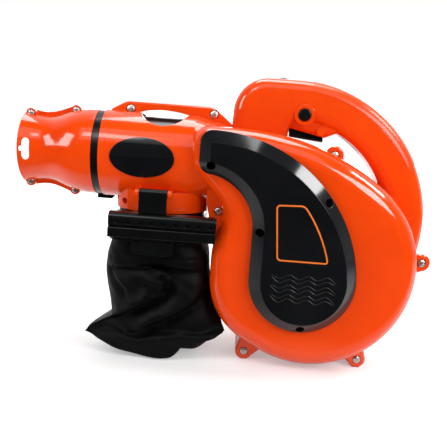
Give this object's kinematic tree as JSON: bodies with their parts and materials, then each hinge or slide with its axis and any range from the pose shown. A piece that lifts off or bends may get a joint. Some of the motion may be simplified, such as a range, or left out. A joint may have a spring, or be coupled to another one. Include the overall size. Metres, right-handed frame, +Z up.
{
  "type": "leaf blower",
  "caption": "Hand-held leaf blower: scroll fan housing with D handle and trigger, round barrel with twist-lock nozzle, and a slumped dust bag on a clipped frame.",
  "frame": {"origin": "on the floor under the middle of the overall box", "axes": "+X from the nozzle to the back of the scroll along the barrel, +Y away from the cover side towards the intake grille, +Z up"},
  "size_m": [0.4369, 0.144, 0.3051],
  "materials": {
    "orange_abs": "glossy moulded ABS",
    "black_gloss_abs": "glossy moulded ABS",
    "black_satin_plastic": "satin moulded plastic",
    "black_fabric": "woven polyester",
    "zinc_steel": "zinc-plated screws and nuts",
    "black_steel": "black oxide screws",
    "motor_steel": "bare sheet steel and ground steel",
    "copper": "copper wire and segments",
    "carbon": "pressed carbon",
    "black_rubber": "moulded rubber"
  },
  "bodies": {
    "housing": {"left_shell": "orange_abs", "right_shell": "orange_abs", "housing_screws": "zinc_steel", "handle_left": "orange_abs", "handle_right": "orange_abs", "grip_strip": "orange_abs", "handle_screws": "zinc_steel", "cord_bush": "black_rubber", "trigger_pin": "motor_steel", "dial_pin": "motor_steel", "switch_module": "black_satin_plastic", "motor_cover": "black_gloss_abs", "cover_screws": "black_steel", "badge": "black_gloss_abs", "motor_can": "motor_steel", "rear_bracket": "motor_steel", "front_bearing": "motor_steel", "rear_bearing": "motor_steel", "stator_core": "motor_steel", "field_coils": "copper", "carbon_brushes": "carbon", "brush_holders": "copper", "intake_grille": "black_satin_plastic", "grille_screws": "zinc_steel", "duct_tube": "black_satin_plastic", "bag_frame": "black_satin_plastic", "bag_tab": "black_satin_plastic", "clip_pin": "motor_steel", "dust_bag": "black_fabric"},
    "nozzle": {"nozzle_left": "orange_abs", "nozzle_right": "orange_abs", "nozzle_screws": "zinc_steel"},
    "lock_ring": {"lock_ring": "black_satin_plastic"},
    "rotor": {"shaft": "motor_steel", "armature_core": "motor_steel", "armature_windings": "copper", "commutator": "copper", "fan": "black_satin_plastic", "fan_washer": "zinc_steel", "fan_nut": "zinc_steel"},
    "trigger": {"trigger": "black_satin_plastic"},
    "lock_button": {"lock_button": "black_satin_plastic"},
    "speed_dial": {"speed_dial": "black_satin_plastic"},
    "bag_clip": {"bag_clip": "black_satin_plastic"}
  },
  "joints": [
    {"name": "nozzle_slide", "type": "slide", "parent": "housing", "child": "nozzle", "axis": [-1, 0, 0], "range_m": [0, 0.012]},
    {"name": "lock_ring_turn", "type": "hinge", "parent": "housing", "child": "lock_ring", "pos_m": [-0.1402, 0, 0.215], "axis": [-1, 0, 0], "range_deg": [0, 30]},
    {"name": "fan_spin", "type": "hinge", "parent": "housing", "child": "rotor", "pos_m": [0.079, 0, 0.104], "axis": [0, 1, 0], "continuous": true},
    {"name": "trigger_pull", "type": "hinge", "parent": "housing", "child": "trigger", "pos_m": [0.0888, 0, 0.2525], "axis": [0, 1, 0], "range_deg": [0, 8], "stiffness_Nm_per_rad": 0.8, "springref_deg": -11.46},
    {"name": "lock_button_press", "type": "slide", "parent": "housing", "child": "lock_button", "axis": [0, 1, 0], "range_m": [0, 0.003], "stiffness_N_per_m": 600, "springref_m": -0.002},
    {"name": "speed_dial_turn", "type": "hinge", "parent": "housing", "child": "speed_dial", "pos_m": [0.0469, 0, 0.2921], "axis": [0, 1, 0], "range_deg": [0, 270]},
    {"name": "bag_clip_swing", "type": "hinge", "parent": "housing", "child": "bag_clip", "pos_m": [-0.076, -0.052, 0.181], "axis": [-1, 0, 0], "range_deg": [0, 70]}
  ]
}
